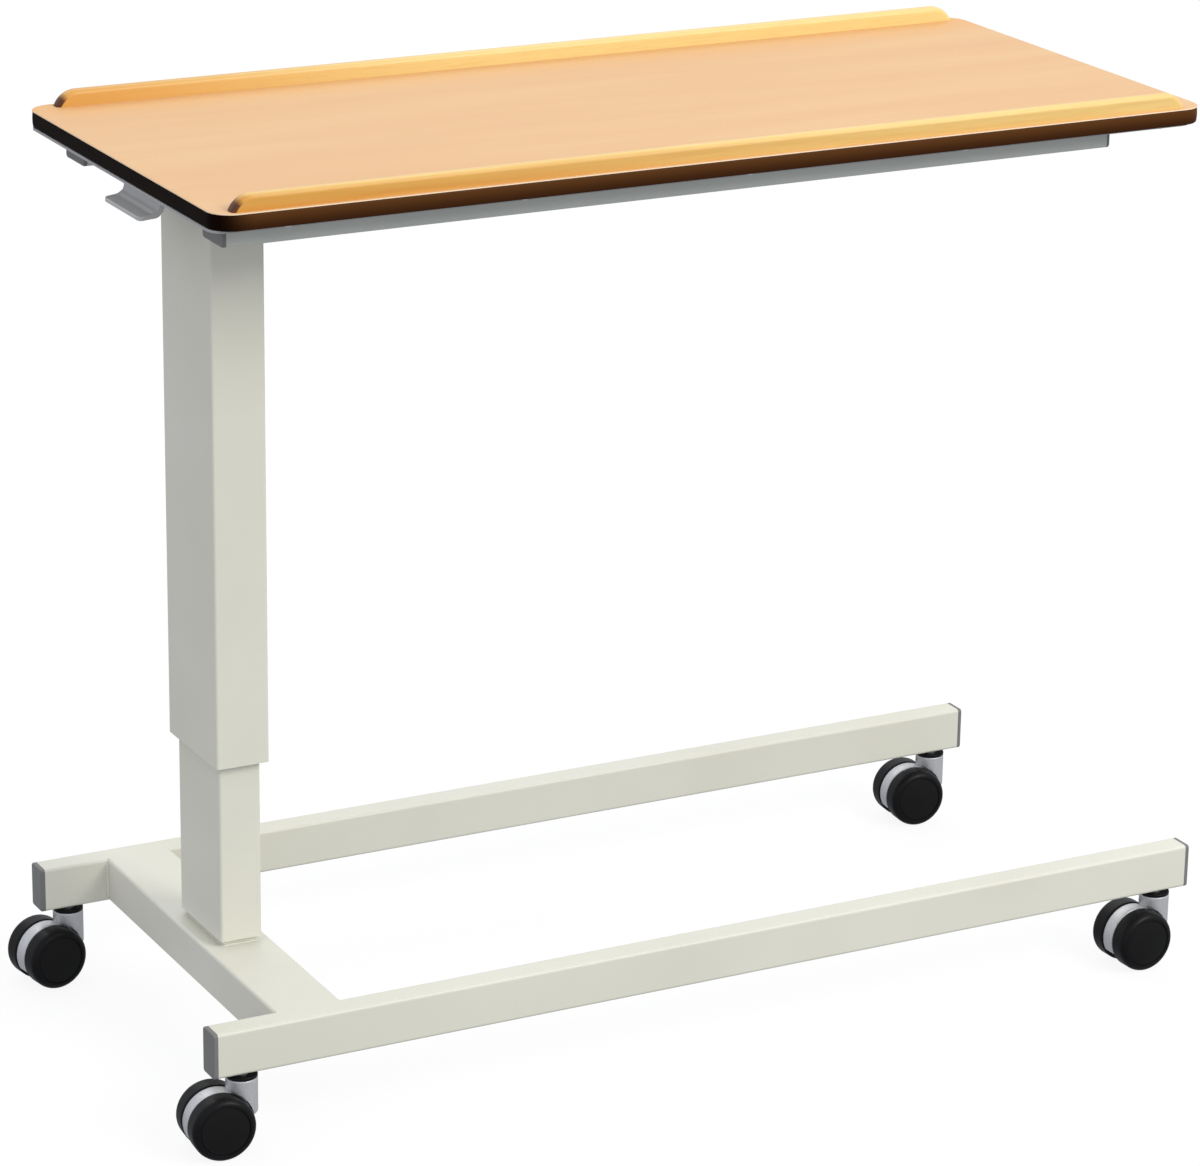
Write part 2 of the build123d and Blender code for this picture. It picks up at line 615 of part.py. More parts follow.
stems, nuts, collars = [], [], []
for name, (stem_x, side, rest_angle) in CASTORS.items():
    place = Pos(stem_x, side * LEG_Y, 0) * Rot(0, 0, rest_angle)
    parts["castor_housing_" + name] = place * castor_housing()
    axle = bar_along_y(-TRAIL, WHEEL_R, -AXLE_END_Y, AXLE_END_Y, AXLE_R)
    parts["castor_axle_" + name] = place * axle
    for wheel_side, which in ((-1, "a"), (1, "b")):
        parts[f"wheel_{name}_{which}"] = place * wheel(wheel_side)
        parts[f"wheel_cap_{name}_{which}"] = place * wheel_cap(wheel_side)
    stem = rod(0, 0, 42, LEG_UNDERSIDE_Z + 18, STEM_R)
    stem += rod(0, 0, LEG_UNDERSIDE_Z - 4, LEG_UNDERSIDE_Z, STEM_R + 1.5)
    stems.append(place * stem)
    nut_z = LEG_UNDERSIDE_Z + LEG_WALL
    nut = extrude(Pos(0, 0, nut_z) * RegularPolygon(9.0, 6), 8) - rod(
        0, 0, nut_z - 1, nut_z + 9, STEM_R + 0.1
    )
    nuts.append(place * nut)
    collar = rod(0, 0, BARREL_TOP_Z + 0.3, BARREL_TOP_Z + 2.7, BARREL_R)
    collar = fillet(collar.faces().sort_by(Axis.Z)[-1].edges(), 0.8)
    collars.append(place * (collar - rod(0, 0, 0, 80, STEM_R + 1.6)))
parts["castor_stems"] = stems
parts["castor_stem_nuts"] = nuts
parts["castor_collars"] = collars

# ---- Place and write --------------------------------------------------------------------

origin = Pos(-ORIGIN_X, 0, 0)
os.makedirs("parts", exist_ok=True)
for node, shape in parts.items():
    placed = Compound([origin * s for s in shape]) if isinstance(shape, list) else origin * shape
    export_step(placed, f"parts/{node}.step")
print(len(parts), "nodes")
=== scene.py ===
import json
from math import cos, pi, radians, sin

import bpy
import numpy as np
from mathutils import Matrix, Vector


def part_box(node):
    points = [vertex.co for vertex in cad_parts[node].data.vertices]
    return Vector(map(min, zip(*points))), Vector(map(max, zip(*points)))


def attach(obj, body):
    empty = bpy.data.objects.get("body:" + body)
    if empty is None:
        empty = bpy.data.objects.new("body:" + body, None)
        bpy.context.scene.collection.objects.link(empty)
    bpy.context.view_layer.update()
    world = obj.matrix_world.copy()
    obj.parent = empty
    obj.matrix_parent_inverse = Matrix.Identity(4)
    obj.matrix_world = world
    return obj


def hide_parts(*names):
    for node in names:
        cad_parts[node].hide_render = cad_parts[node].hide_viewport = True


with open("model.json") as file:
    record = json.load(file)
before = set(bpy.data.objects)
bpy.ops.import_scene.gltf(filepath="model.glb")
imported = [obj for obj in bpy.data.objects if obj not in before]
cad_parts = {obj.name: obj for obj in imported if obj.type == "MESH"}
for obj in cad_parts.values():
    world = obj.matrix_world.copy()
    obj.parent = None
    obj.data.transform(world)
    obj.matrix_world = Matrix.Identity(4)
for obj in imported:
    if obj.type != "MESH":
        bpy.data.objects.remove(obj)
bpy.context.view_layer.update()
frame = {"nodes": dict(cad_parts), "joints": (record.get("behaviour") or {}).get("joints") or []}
node = frame["nodes"]

# ---- Ivory powder coat: column and base frame -------------------------------------------------
# Welded steel box tube: two floor tubes, a cross member, and a telescopic column on it.
# Everything is sprayed in one ivory powder coat, which dries with a fine orange-peel skin.


class Wire:
    """A value on its way through a finish's nodes. Arithmetic on it adds Math nodes."""

    def __init__(self, tree, socket=None):
        self.tree, self.socket = tree, socket

    def node(self, kind, settings, sockets, out=0):
        """Adds one node: its settings first, then each socket's value or link."""
        made = self.tree.nodes.new("ShaderNode" + kind)
        for name, value in settings.items():
            setattr(made, name, value)
        for name, value in sockets.items():
            if isinstance(value, Wire):
                self.tree.links.new(value.socket, made.inputs[name])
            else:
                made.inputs[name].default_value = value
        return Wire(self.tree, made.outputs[out])

    def math(self, operation, first, second=0.0):
        return self.node("Math", {"operation": operation}, {0: first, 1: second})

    def __add__(self, other):
        return self.math("ADD", self, other)

    def __mul__(self, other):
        return self.math("MULTIPLY", self, other)

    __radd__, __rmul__ = __add__, __mul__

    def rise(self, low, high):
        """0 up to low, 1 from high on, an S-curve between; it falls where low is the greater."""
        settings = {"interpolation_type": "SMOOTHSTEP"}
        return self.node("MapRange", settings, {0: self, 1: low, 2: high})

    def blend(self, at_0, at_1):
        """A colour going from at_0 to at_1 as this value goes from 0 to 1."""
        return self.node("Mix", {"data_type": "RGBA"}, {0: self, 6: at_0, 7: at_1}, 2)

    def along(self, axis):
        return self.node("SeparateXYZ", {}, {0: self}, axis)

    def noise(self, scale, detail=2.0, rough=0.5, stretch=(1, 1, 1)):
        """Cloudy noise, scale features to the metre, drawn out along the axes whose stretch is
        below the others'."""
        spread = self.node("Mapping", {}, {"Vector": self, "Scale": stretch})
        sockets = {"Vector": spread, "Scale": scale, "Detail": detail, "Roughness": rough}
        return self.node("TexNoise", {}, sockets)

    def bump(self, height_m):
        """A surface normal tilted by this value as a height, height_m from lowest to highest."""
        return self.node("Bump", {}, {"Strength": 1.0, "Distance": height_m, "Height": self})


def finish(name, **numbers):
    """A new material with its fixed numbers on the shader's own sockets, its shader, and the
    place on the piece."""
    made = bpy.data.materials.new(name)
    made.use_nodes = True
    shader = made.node_tree.nodes["Principled BSDF"]
    for socket, value in numbers.items():
        shader.inputs[socket.replace("_", " ")].default_value = value
    return made, shader, Wire(made.node_tree).node("TexCoord", {}, {}, "Object")


def feed(shader, **wires):
    """Links worked-out values to the shader."""
    for socket, wire in wires.items():
        wire.tree.links.new(wire.socket, shader.inputs[socket.replace("_", " ")])


def coat(material, *names):
    """Gives CAD nodes a material."""
    for name in names:
        node[name].data.materials.clear()
        node[name].data.materials.append(material)


ivory, shader, here = finish(
    "ivory_powder_coat", Specular_IOR_Level=0.4, Coat_Weight=0.12, Coat_Roughness=0.25
)
cloud = here.noise(7.0, 3.0)
skin = here.noise(900.0, 2.0)
feed(
    shader,
    Base_Color=cloud.rise(0.3, 0.7).blend((0.715, 0.70, 0.60, 1), (0.745, 0.735, 0.64, 1)),
    Roughness=0.36 + 0.12 * cloud,
    Normal=skin.bump(0.00006),
)
coat(
    ivory, "leg_front", "leg_rear", "cross_member", "column_foot_plate", "inner_column",
    "outer_column",
)

# ---- Weld seams -------------------------------------------------------------------------------
# The legs are seamed to the cross member down its four upright corners, and the column's foot
# all round its plate, with shallow ripples. On top the joint is filled and ground flush.


def show(name, points, faces, material, body, stands_for=(), smooth=True):
    """A mesh from its points and faces, with its finish, on its CAD body."""
    mesh = bpy.data.meshes.new(name)
    mesh.from_pydata(points.tolist(), [], faces)
    mesh.polygons.foreach_set("use_smooth", np.full(len(mesh.polygons), smooth))
    mesh.materials.append(material)
    piece = bpy.data.objects.new(name, mesh)
    bpy.context.scene.collection.objects.link(piece)
    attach(piece, body)
    if stands_for:
        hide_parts(*stands_for)
    return piece


def grid_faces(rows, columns, round_rows=False, round_columns=False):
    """The quads of a rows x columns grid of points, closed on itself along either way."""
    last_row = rows if round_rows else rows - 1
    last_column = columns if round_columns else columns - 1
    i, j = np.meshgrid(np.arange(last_row), np.arange(last_column), indexing="ij")
    i, j = i.ravel(), j.ravel()
    i1, j1 = (i + 1) % rows, (j + 1) % columns
    corners = i * columns + j, i1 * columns + j, i1 * columns + j1, i * columns + j1
    return np.stack(corners, 1).tolist()


ARC_POINTS = 7


def weld_bead(line, first, second, size, closed):
    """A fillet along a corner line: at arc length s and angle a the point is
    line + r(s) (cos a first + sin a second), with r(s) = size (1 - depth |sin(pi s / pitch)|),
    run out to nothing over the run_out at each end of an open line."""
    depth, pitch, run_out = 0.16, 0.0022, 0.002
    steps = np.linalg.norm(np.diff(line, axis=0), axis=1)
    s = np.concatenate([[0.0], np.cumsum(steps)])
    r = size * (1 - depth * np.abs(np.sin(pi * s / pitch)))
    if not closed:
        r = r * np.sqrt(np.clip(np.minimum(s, s[-1] - s) / run_out, 0.02, 1))
    a = np.linspace(0, pi / 2, ARC_POINTS)
    arc = line[:, None] + r[:, None, None] * (
        np.cos(a)[None, :, None] * first[:, None] + np.sin(a)[None, :, None] * second[:, None]
    )
    points = np.concatenate([arc, line[:, None]], 1)
    return points.reshape(-1, 3), grid_faces(len(line), ARC_POINTS + 1, closed, True)


def end_discs(points, count):
    """The faces over the first and the last count points."""
    return [list(range(count - 1, -1, -1)), list(range(len(points) - count, len(points)))]


beam_low, beam_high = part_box("cross_member")
SEAM_MARGIN, SEAM_STEP, SEAM_SIZE, FOOT_SEAM_SIZE = 0.003, 0.00045, 0.0022, 0.0013
heights = np.arange(beam_low.z + SEAM_MARGIN, beam_high.z - SEAM_MARGIN, SEAM_STEP)
seam_points, seam_faces = [], []
for x, outward in ((beam_low.x, -1), (beam_high.x, 1)):
    for y, inward in ((beam_low.y, 1), (beam_high.y, -1)):
        line = np.stack([np.full_like(heights, x), np.full_like(heights, y), heights], 1)
        first = np.tile([outward, 0.0, 0.0], (len(line), 1))
        second = np.tile([0.0, inward, 0.0], (len(line), 1))
        if outward * inward < 0:
            first, second = second, first
        points, faces = weld_bead(line, first, second, SEAM_SIZE, False)
        faces += end_discs(points, ARC_POINTS + 1)
        start = sum(map(len, seam_points))
        seam_faces += [[k + start for k in face] for face in faces]
        seam_points.append(points)
show("weld_seams_base", np.concatenate(seam_points), seam_faces, ivory, "base")


def dressed_seam(x, y_face, outward, top_z):
    """A seam ground flush: at place x the profile's points are (x, y_face + outward p,
    top_z + q - g(x)), with g(x) = depth sin^2(pi x / pitch) left by the grinding wheel."""
    depth, pitch = 0.00001, 0.0031
    p = np.array([-0.0006, -0.0006, 0.0008, 0.0020, 0.0031, 0.0031])
    q = np.array([-0.0030, -0.00002, -0.00002, -0.00002, -0.00002, -0.0030])
    points = np.empty((len(x), len(p), 3))
    points[:, :, 0] = x[:, None]
    points[:, :, 1] = y_face + outward * p[None]
    points[:, :, 2] = top_z + q[None] - depth * np.sin(pi * x[:, None] / pitch) ** 2
    points = points.reshape(-1, 3)
    faces = grid_faces(len(x), len(p), False, True) + end_discs(points, len(p))
    return points, [face[::-1] for face in faces] if outward < 0 else faces


DRESSED_MARGIN = 0.0012
places = np.linspace(beam_low.x + DRESSED_MARGIN, beam_high.x - DRESSED_MARGIN, 90)
for name, y_face, outward in (("front", beam_low.y, -1), ("rear", beam_high.y, 1)):
    points, faces = dressed_seam(places, y_face, outward, beam_high.z)
    show("dressed_seam_" + name, points, faces, ivory, "base", smooth=False)


def rounded_outline(low, high, radius, per_corner=16, per_side=2):
    """Points round a rectangle whose corners are arcs, anticlockwise from above, and the outward
    direction at each."""
    places, outward = [], []
    for k, (cx, cy) in enumerate(
        ((high.x, high.y), (low.x, high.y), (low.x, low.y), (high.x, low.y))
    ):
        a = pi / 2 * (k + np.linspace(0, 1, per_corner + 1))
        n = np.stack([np.cos(a), np.sin(a), np.zeros_like(a)], 1)
        sx, sy = (-1 if cx == high.x else 1), (-1 if cy == high.y else 1)
        places.append(np.array([cx + sx * radius, cy + sy * radius, 0.0]) + radius * n)
        outward.append(n)
    places, outward = np.concatenate(places), np.concatenate(outward)
    after, turn = np.roll(places, -1, 0), np.roll(outward, -1, 0)
    t = np.linspace(0, 1, per_side, endpoint=False)[None, :, None]
    straight = np.linalg.norm(outward - turn, axis=1) < 1e-9
    filled = np.where(straight[:, None, None], t, np.where(t > 0, np.nan, 0.0))
    line = (places[:, None] * (1 - filled) + after[:, None] * filled).reshape(-1, 3)
    normal = np.repeat(outward, per_side, 0)
    kept = ~np.isnan(line[:, 0])
    return line[kept], normal[kept]


PLATE_CORNER = 0.001
plate_low, plate_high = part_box("column_foot_plate")
line, outward = rounded_outline(plate_low, plate_high, PLATE_CORNER, 4, 76)
line[:, 2] = plate_low.z
up = np.tile([0.0, 0.0, 1.0], (len(line), 1))
points, faces = weld_bead(line, outward, up, FOOT_SEAM_SIZE, True)
show("weld_seam_column", points, faces, ivory, "base")

# ---- Guide bushes, gas spring and fastenings --------------------------------------------------
# Two white nylon collars take up the play between the column's tubes. The gas spring stands
# inside: black enamelled cylinder, hard-chromed rod. Bolts, stems, axles and screws are plated.

nylon, shader, here = finish("white_nylon", Specular_IOR_Level=0.4)
mould = here.noise(1400.0, 2.0)
feed(
    shader,
    Base_Color=here.noise(60.0).blend((0.74, 0.74, 0.71, 1), (0.80, 0.80, 0.77, 1)),
    Roughness=0.42 + 0.12 * mould,
    Normal=mould.bump(0.00002),
)
coat(nylon, "upper_guide_bush", "lower_guide_bush", "gas_rod_guide")

enamel, shader, here = finish("black_steel", Coat_Weight=0.3, Coat_Roughness=0.2)
feed(
    shader,
    Base_Color=here.noise(90.0).blend((0.02, 0.02, 0.021, 1), (0.035, 0.035, 0.036, 1)),
    Roughness=0.3 + 0.2 * here.noise(400.0),
)
coat(enamel, "gas_cylinder", "gas_piston")

chrome, shader, here = finish("chrome_rod", Metallic=1.0)
feed(
    shader,
    Base_Color=here.noise(20.0).blend((0.70, 0.71, 0.73, 1), (0.78, 0.78, 0.79, 1)),
    Roughness=0.06 + 0.08 * here.noise(900.0, stretch=(1, 1, 0.03)),
)
coat(chrome, "gas_rod", "release_pin")

zinc, shader, here = finish("zinc_steel", Metallic=1.0)
spangle = here.noise(350.0, 3.0, 0.7)
feed(
    shader,
    Base_Color=spangle.blend((0.50, 0.51, 0.53, 1), (0.68, 0.68, 0.67, 1)),
    Roughness=0.28 + 0.2 * spangle,
    Normal=here.noise(1500.0).bump(0.00002),
)
coat(
    zinc, "gas_spring_foot_bolt", "castor_stems", "castor_stem_nuts", "lever_pivot_pin",
    "lip_screws", "board_screws", "castor_axle_front_left", "castor_axle_rear_left",
    "castor_axle_front_right", "castor_axle_rear_right",
)

# ---- Moulded end caps -------------------------------------------------------------------------
# Grey polypropylene plugs pressed into the open ends of the legs and of the rails, spark-eroded
# texture on their faces.

cap_grey, shader, here = finish("grey_plastic", Specular_IOR_Level=0.35)
erosion = here.noise(1800.0, 3.0, 0.6)
feed(
    shader,
    Base_Color=here.noise(40.0).blend((0.175, 0.175, 0.17, 1), (0.205, 0.205, 0.20, 1)),
    Roughness=0.42 + 0.2 * erosion,
    Normal=erosion.bump(0.00004),
)
coat(cap_grey, "leg_end_caps", "rail_end_caps")

# ---- Rails and head ---------------------------------------------------------------------------
# Two grey box tubes screwed under the board, tied by a plate and gussets on the column's head.
# They have the same satin powder coat as the base, in mid grey.

grey, shader, here = finish(
    "grey_powder_coat", Specular_IOR_Level=0.4, Coat_Weight=0.1, Coat_Roughness=0.3
)
cloud = here.noise(9.0, 3.0)
feed(
    shader,
    Base_Color=cloud.rise(0.3, 0.7).blend((0.50, 0.52, 0.475, 1), (0.54, 0.56, 0.515, 1)),
    Roughness=0.38 + 0.14 * cloud,
    Normal=here.noise(900.0, 2.0).bump(0.00006),
)
coat(
    grey, "rail_front", "rail_rear", "head_plate", "head_gussets", "release_block", "lever_bracket"
)

# ---- Release lever ----------------------------------------------------------------------------
# One moulding in grey nylon: a dished paddle with a raised rim, swept up into a riser, and an
# arm that runs back over the pivot pin to press the gas spring's pin.

paddle, shader, here = finish("light_grey_plastic", Specular_IOR_Level=0.4)
mould = here.noise(1500.0, 2.0)
feed(
    shader,
    Base_Color=here.noise(45.0).blend((0.50, 0.50, 0.485, 1), (0.56, 0.56, 0.545, 1)),
    Roughness=0.4 + 0.15 * mould,
    Normal=mould.bump(0.00003),
)


def loft(rings):
    """A closed skin through rings of points, with a flat face over the first and the last, wound
    to face outward."""
    rows, count = rings.shape[:2]
    points = rings.reshape(-1, 3)
    faces = grid_faces(rows, count, False, True) + end_discs(points, count)
    middle = rings.mean(1, keepdims=True)
    spin = np.cross(rings - middle, np.roll(rings, -1, 1) - middle).sum(1).mean(0)
    inward = spin @ (rings[-1].mean(0) - rings[0].mean(0)) > 0
    return points, [face[::-1] for face in faces] if inward else faces


def softened(corners, reach, count):
    """A closed outline whose corners P are the curves (1-s)^2 A + 2 s (1-s) P + s^2 B between
    points A and B that lie reach away along both sides, drawn again as count points at equal
    spacing."""
    before, after = np.roll(corners, 1, 0) - corners, np.roll(corners, -1, 0) - corners
    a = corners + before / np.linalg.norm(before, axis=1, keepdims=True) * reach[:, None]
    b = corners + after / np.linalg.norm(after, axis=1, keepdims=True) * reach[:, None]
    s = np.linspace(0, 1, 9)[None, :, None]
    curve = (1 - s) ** 2 * a[:, None] + 2 * s * (1 - s) * corners[:, None] + s**2 * b[:, None]
    curve = curve.reshape(-1, 2)
    curve = np.concatenate([curve, curve[:1]])
    steps = np.linalg.norm(np.diff(curve, axis=0), axis=1)
    length = np.concatenate([[0.0], np.cumsum(steps)])
    even = np.linspace(0, length[-1], count, endpoint=False)
    x, z = np.interp(even, length, curve[:, 0]), np.interp(even, length, curve[:, 1])
    return np.stack([x, z], 1)


def blade_rings(low, high):
    """The paddle and its riser as side views (x, z) set side by side across the lever. At width y
    the side view is drawn in by e (1 - cos t) near the ends, where |y| = h - e (1 - sin t); the
    front edge is cut back to x = c - sqrt(c^2 - (|y| - (h - c))^2) over the last c of the half
    width h; and the top sinks by depth (3 d^2 - 2 d^3), d going from 0 at the rim to 1."""
    half, corner, ease = (high.y - low.y) / 2, 0.006, 0.0009
    rim, rim_slope, dish_end, end_slope, depth = 0.0016, 0.0016, 0.0150, 0.0030, 0.0011
    side_view = softened(
        np.array([
            [0.0, 0.0], [0.0, 0.0034], [0.0118, 0.0048], [0.0166, 0.0076], [0.0180, 0.0120],
            [0.0180, 0.0230], [0.0220, 0.0230], [0.0220, 0.0070], [0.0170, 0.0012],
        ]),
        np.array([0.0011, 0.0011, 0.0012, 0.0020, 0.0020, 0.0010, 0.0010, 0.0030, 0.0030]),
        180,
    )
    t = np.linspace(0, pi / 2, 7)
    edge = half - ease * (1 - np.sin(t))
    between = np.linspace(-1, 1, 75)[1:-1] * edge[0]
    y = np.concatenate([-edge[::-1], between, edge])
    end_inset = ease * (1 - np.cos(t))
    inset = np.concatenate([end_inset[::-1], np.zeros(len(between)), end_inset])
    along = np.roll(side_view, -1, 0) - np.roll(side_view, 1, 0)
    along /= np.linalg.norm(along, axis=1, keepdims=True)
    outward = np.stack([-along[:, 1], along[:, 0]], 1)
    x = side_view[None, :, 0] - inset[:, None] * outward[None, :, 0]
    z = side_view[None, :, 1] - inset[:, None] * outward[None, :, 1]
    past = np.maximum(np.abs(y) - (half - corner), 0)
    bow = corner - np.sqrt(corner**2 - past**2)
    x = np.maximum(x, bow[:, None])
    from_front = np.clip((x - bow[:, None] - rim) / rim_slope, 0, 1)
    from_riser = np.clip((dish_end - x) / end_slope, 0, 1)
    from_side = np.clip((half - 0.0020 - np.abs(y)) / rim_slope, 0, 1)
    dish = from_front * from_riser * from_side[:, None] * (outward[None, :, 1] > 0.5)
    z = z - depth * dish**2 * (3 - 2 * dish)
    return np.stack([low.x + x, np.broadcast_to(y[:, None], x.shape), low.z + z], 2)


def bar_rings(half_y, z0, z1, x0, x1):
    """A flat bar along X from x0 to x1, its section 2 half_y wide and z0 to z1 high."""
    corners = np.array([[-half_y, z0], [half_y, z0], [half_y, z1], [-half_y, z1]])
    section = softened(corners, np.full(4, 0.0006), 72)
    run = np.linspace(x0, x1, 12)
    shape = (len(run), len(section))
    return np.stack([
        np.broadcast_to(run[:, None], shape), np.broadcast_to(section[None, :, 0], shape),
        np.broadcast_to(section[None, :, 1], shape),
    ], 2)


def boss_rings(centre, half_y, radius, bevel):
    """A round boss across the lever: at width y and angle a the point is centre + r(y) (cos a,
    sin a), r being the radius, less the bevel at both ends."""
    a = np.linspace(0, 2 * pi, 48, endpoint=False)
    y = np.array([-half_y, bevel - half_y, half_y - bevel, half_y])
    r = np.array([radius - bevel, radius, radius, radius - bevel])
    x, z = centre[0] + r[:, None] * np.cos(a), centre[2] + r[:, None] * np.sin(a)
    return np.stack([x, np.broadcast_to(y[:, None], x.shape), z], 2)


low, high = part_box("release_lever")
pivot = next(j for j in frame["joints"] if j["name"] == "release_lever_tilt")["pos_m"]
arm = bar_rings(0.009, pivot[2] - 0.002, pivot[2] + 0.002, low.x + 0.0195, pivot[0])
tail = bar_rings(0.007, high.z - 0.0122, high.z - 0.0077, pivot[0], high.x)
shells = [loft(rings) for rings in (
    blade_rings(low, high), arm, tail, boss_rings(pivot, 0.0095, 0.0060, 0.0003)
)]
starts = np.cumsum([0] + [len(points) for points, faces in shells])
lever = show(
    "lever_moulding", np.concatenate([points for points, faces in shells]),
    [[k + start for k in face] for (points, faces), start in zip(shells, starts) for face in faces],
    paddle, "release_lever", ["release_lever"],
)
lever.data.set_sharp_from_angle(angle=radians(40))

# ---- Board: core, backer and edging -----------------------------------------------------------
# Particle board with a light grey balancing sheet below. A dark brown plastic strip is wrapped
# round the edge, its face slightly crowned and its corners rounded.

chip, shader, here = finish("board_core", Specular_IOR_Level=0.2)
flake = here.node("TexVoronoi", {}, {"Vector": here, "Scale": 420.0}, "Color").along("X")
feed(
    shader,
    Base_Color=flake.blend((0.36, 0.25, 0.14, 1), (0.56, 0.42, 0.27, 1)),
    Roughness=0.75 + 0.2 * flake,
    Normal=flake.bump(0.0002),
)
coat(chip, "board_core")

backing, shader, here = finish("white_backer", Specular_IOR_Level=0.3)
pebble = here.noise(1100.0, 2.0)
feed(
    shader,
    Base_Color=here.noise(12.0).blend((0.38, 0.37, 0.375, 1), (0.43, 0.42, 0.425, 1)),
    Roughness=0.5 + 0.15 * pebble,
    Normal=pebble.bump(0.00004),
)
coat(backing, "board_backer")

# Dark brown, painted near black at the column end as shade and painted paler towards the upper
# edge as light falling on it; the coat's sheen is painted in only past the column end.
brown, shader, here = finish("brown_edging", Specular_IOR_Level=0.02, Coat_Roughness=0.35)
low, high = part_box("board_edging")
upward = here.along("Z").rise(low.z, high.z)
drawn = here.noise(30.0, 3.0, stretch=(1, 1, 14))
# Painted shade: 0 at the column end, rising to 1 past its corner.
lit_past_column_end = here.along("X").rise(low.x + 0.004, low.x + 0.035)
feed(
    shader,
    Base_Color=lit_past_column_end.blend(
        (0.006, 0.002, 0.0006, 1),
        upward.blend((0.040, 0.012, 0.0025, 1), (0.095, 0.034, 0.007, 1)),
    ),
    Roughness=0.4 + 0.15 * drawn,
    Coat_Weight=0.10 * lit_past_column_end,
    Normal=drawn.bump(0.00004),
)


def carried_round(line, outward, profile, height):
    """A profile carried round an outline: the point at step i and profile point j is
    line i + offset j x outward i, at height j; the profile is closed on itself."""
    points = line[:, None] + profile[None, :, None] * outward[:, None]
    points[:, :, 2] = height[None]
    return points.reshape(-1, 3), grid_faces(len(line), len(profile), True, True)


BOARD_CORNER, STRIP_LAP, CROWN, turn = 0.020, 0.0024, 0.0003, 0.0016
line, outward = rounded_outline(low, high, BOARD_CORNER, 24, 12)
a = np.linspace(-pi / 2, 0, 7)
crown = np.linspace(-1, 1, 7)
middle, half = (low.z + high.z) / 2, (high.z - low.z) / 2 - turn
profile = np.concatenate([
    [-STRIP_LAP], -CROWN - turn + turn * np.cos(a)[:-1], -CROWN * crown**2,
    -CROWN - turn + turn * np.cos(a[::-1])[1:], [-STRIP_LAP],
])
height = np.concatenate([
    [low.z], low.z + turn + turn * np.sin(a)[:-1], middle + half * crown,
    high.z - turn - turn * np.sin(a[::-1])[1:], [high.z],
])
points, faces = carried_round(line, outward, profile, height)
show("edging_strip", points, faces, brown, "lift", ["board_edging"])

# ---- Board: laminate --------------------------------------------------------------------------
# A 1 mm decorative laminate in a beech pattern covers the top: pale peach ground, drawn-out
# figure and short rays, painted more orange by the rear lip as light bounced off it. Its rim is
# eased by the router and paler, partly as the cut edge and partly as a painted highlight.

laminate, shader, here = finish("beech_laminate", Specular_IOR_Level=0.12)
low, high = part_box("board_laminate")
figure = here.noise(4.0, 3.0, 0.55, (0.55, 5.0, 1))
streak = here.noise(10.0, 4.0, 0.6, (1.2, 60.0, 1))
spread = here.node("Mapping", {}, {"Vector": here, "Scale": (210.0, 1500.0, 1.0)})
cells = here.node("TexVoronoi", {"voronoi_dimensions": "2D"}, {"Vector": spread, "Scale": 1.0})
ray = cells.rise(0.30, 0.12)
# The eased rim's paler colour: partly the cut edge, partly a painted highlight along the arris.
rim = here.along("Z").rise(high.z - 0.0001, high.z - 0.0004)
ground = figure.rise(0.3, 0.7).blend((0.735, 0.450, 0.232, 1), (0.76, 0.495, 0.262, 1))
ground = (0.45 * streak.rise(0.35, 0.75)).blend(ground, (0.80, 0.48, 0.25, 1))
# Painted orange glow near the rear lip, standing for light bounced and reflected off the lip.
lip_bounce_tint = here.along("Y").rise(high.y - 0.075, high.y - 0.012)
ground = (0.55 * lip_bounce_tint).blend(ground, (0.80, 0.43, 0.15, 1))
ground = (0.30 * ray).blend(ground, (0.66, 0.38, 0.19, 1))
feed(
    shader,
    Base_Color=rim.blend(ground, (0.93, 0.72, 0.50, 1)),
    Roughness=0.42 + 0.1 * streak,
    Normal=(streak + 0.4 * ray).bump(0.00002),
)
RIM_EASE, UNDERLAP = 0.0007, 0.002
line, outward = rounded_outline(low, high, BOARD_CORNER, 24, 12)
a = np.linspace(0, pi / 2, 6)
profile = np.concatenate([[-UNDERLAP, 0.0], -RIM_EASE + RIM_EASE * np.cos(a)])
height = np.concatenate([[low.z, low.z], high.z - RIM_EASE + RIM_EASE * np.sin(a)])
points = line[:, None] + profile[None, :, None] * outward[:, None]
points[:, :, 2] = height[None]
rows, columns = len(line), len(profile)
index = np.arange(rows * columns).reshape(rows, columns)
faces = grid_faces(rows, columns, True) + [index[:, -1].tolist(), index[::-1, 0].tolist()]
top = show(
    "laminate_sheet", points.reshape(-1, 3), faces, laminate, "lift",
    ["board_laminate"],
)
top.data.polygons[-1].use_smooth = top.data.polygons[-2].use_smooth = False

# ---- Raised lips ------------------------------------------------------------------------------
# Two strips of solid beech screwed down along the long edges, so that nothing slides off. The
# top is rounded over, the ends are rounded down, and the whole is under clear lacquer.

beech, shader, here = finish("beech_wood", Specular_IOR_Level=0.25, Coat_Roughness=0.25)
low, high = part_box("lip_front")
# Both strips are deeper in colour by the column and paler towards the free end; their tops are
# painted paler as a sheen of light.
growth = here.noise(5.0, 3.0, 0.55, (0.8, 45.0, 30.0))
fibre = here.noise(14.0, 4.0, 0.65, (2.0, 140.0, 110.0))
# End grain, darker in itself, is drawn at the column end only and much darker there as painted
# shade.
end_grain = here.node("Attribute", {"attribute_name": "end_grain"}, {}, "Fac")
paling_and_top_sheen = 0.75 * here.along("X").rise(low.x - 0.25, high.x + 0.05)
